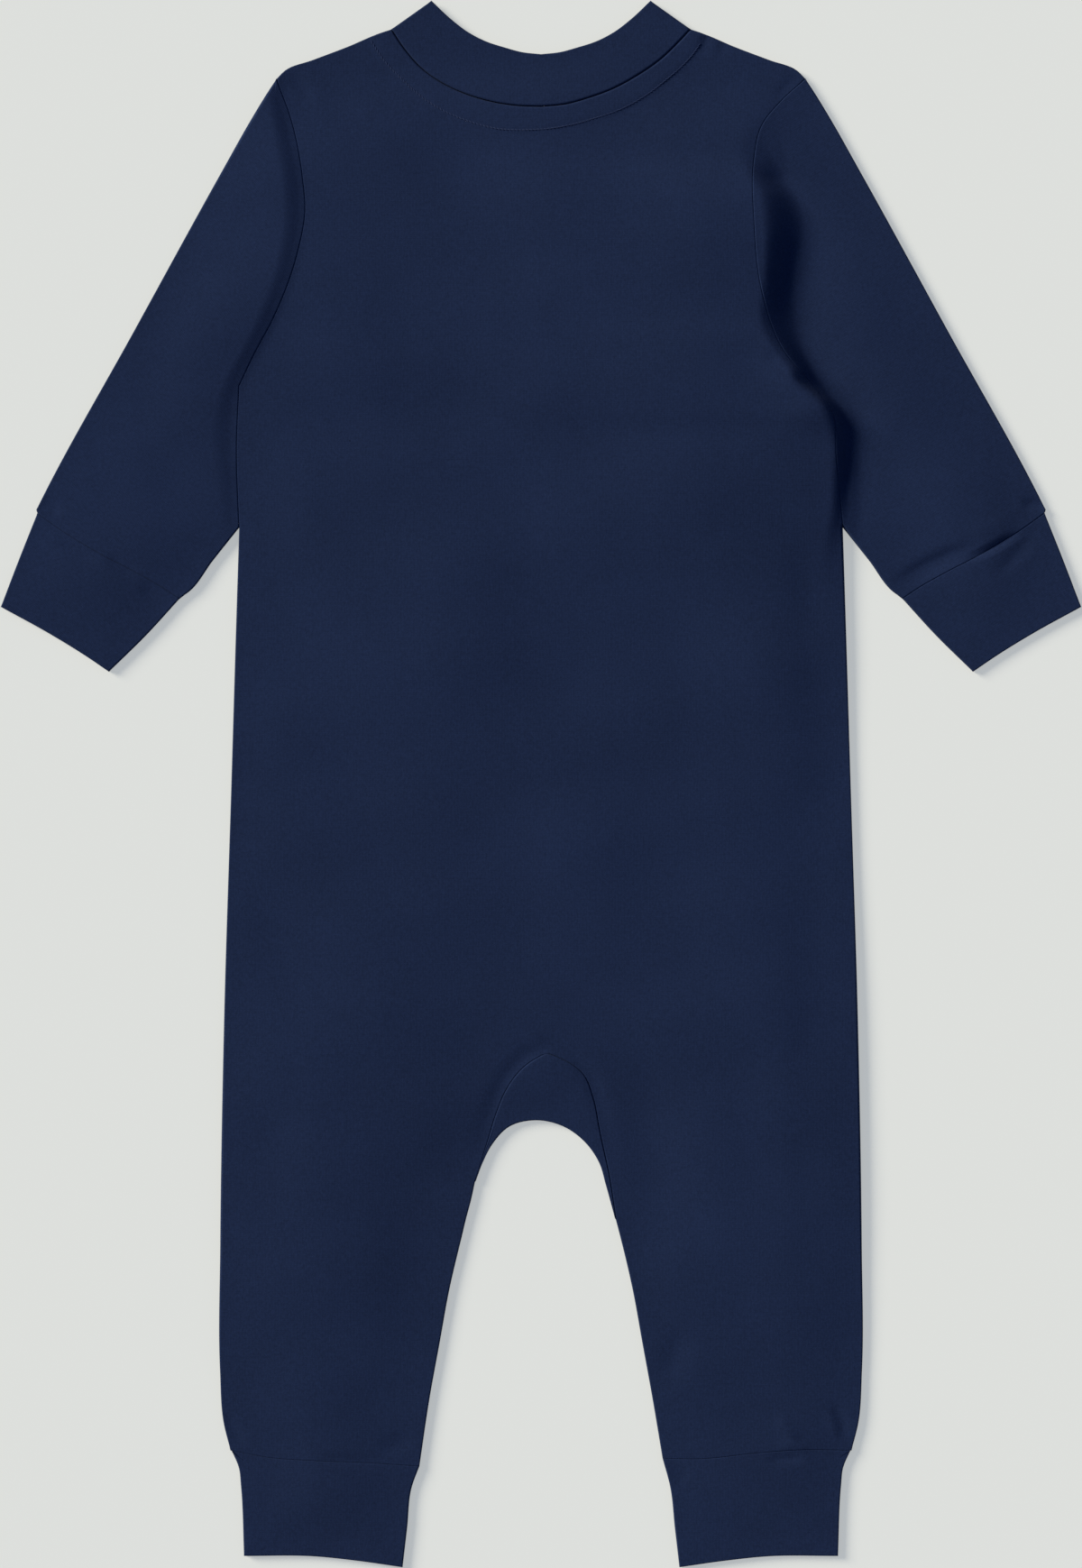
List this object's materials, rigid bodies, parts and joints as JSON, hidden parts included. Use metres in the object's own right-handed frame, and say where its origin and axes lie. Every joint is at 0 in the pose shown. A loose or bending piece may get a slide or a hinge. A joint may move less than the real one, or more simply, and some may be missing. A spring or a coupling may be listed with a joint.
{
  "type": "footless baby romper",
  "caption": "Footless long-sleeved baby romper with stand collar, cuffs, crotch gusset and front zip, laid flat on its front with the back up.",
  "frame": {"origin": "on the surface that the garment lies on, under the middle of its bounding box", "axes": "+Z away from the surface, through the back of the garment; +Y from the ankles to the collar; +X to the wearer's right"},
  "size_m": [0.4496, 0.6518, 0.0071],
  "materials": {
    "jersey": "matte navy cotton interlock jersey",
    "cuff_jersey": "matte navy cotton jersey, double",
    "zip_tape": "navy woven polyester tape",
    "zip_metal": "navy lacquered zinc"
  },
  "bodies": {
    "garment": {"back": "jersey", "front_left": "jersey", "front_right": "jersey", "gusset": "jersey", "sleeve_left": "jersey", "sleeve_right": "jersey", "wrist_cuff_left": "cuff_jersey", "wrist_cuff_right": "cuff_jersey", "ankle_cuff_left": "cuff_jersey", "ankle_cuff_right": "cuff_jersey", "collar": "cuff_jersey", "zip_tape_left": "zip_tape", "zip_tape_right": "zip_tape", "zip_slider": "zip_metal"},
    "pull": {"zip_pull": "zip_metal"}
  },
  "joints": [
    {"name": "pull_swing", "type": "hinge", "parent": "garment", "child": "pull", "pos_m": [0, 0.2776, 0.0013], "axis": [1, 0, 0], "range_deg": [0, 170]}
  ]
}
